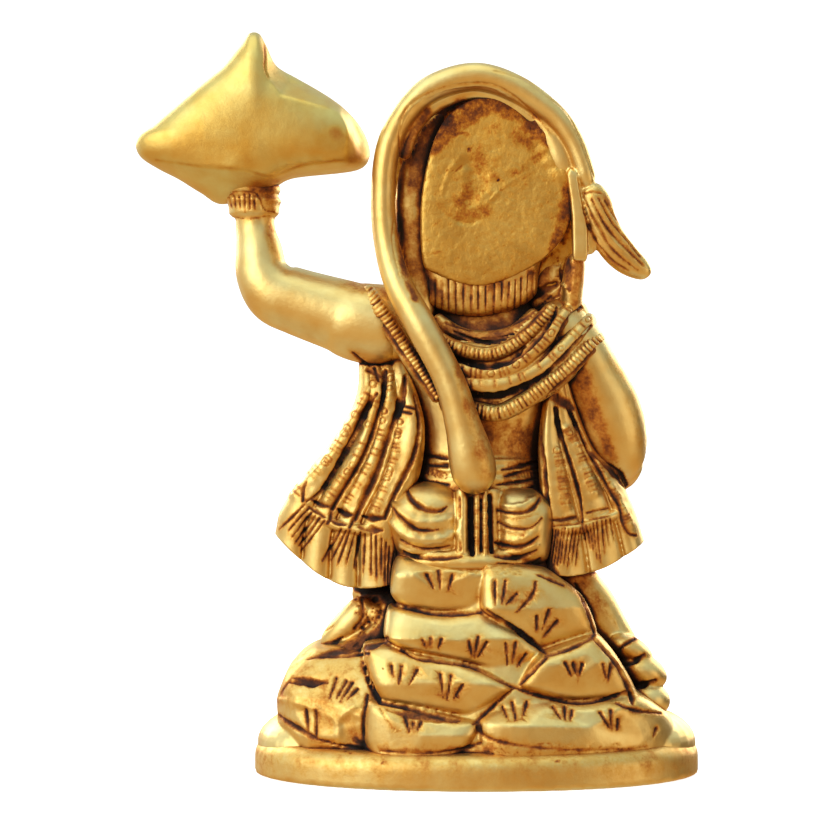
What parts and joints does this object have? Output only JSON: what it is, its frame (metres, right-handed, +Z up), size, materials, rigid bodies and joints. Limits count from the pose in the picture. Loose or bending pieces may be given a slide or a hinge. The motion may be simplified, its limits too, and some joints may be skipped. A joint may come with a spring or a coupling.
{
  "type": "hanuman figure",
  "caption": "Cast brass Hanuman standing on rocks on an oval plinth, the raised left hand carrying a hill and the tail arched round the head.",
  "frame": {"origin": "middle of the plinth's flat underside", "axes": "+Z up, -Y the way the figure faces, +X towards the figure's left hand"},
  "size_m": [0.1154, 0.054, 0.1514],
  "materials": {
    "brass": "polished high spots, with dark red-brown patina left in the recesses"
  },
  "bodies": {
    "root": {"hanuman_figure": "brass"}
  },
  "joints": []
}
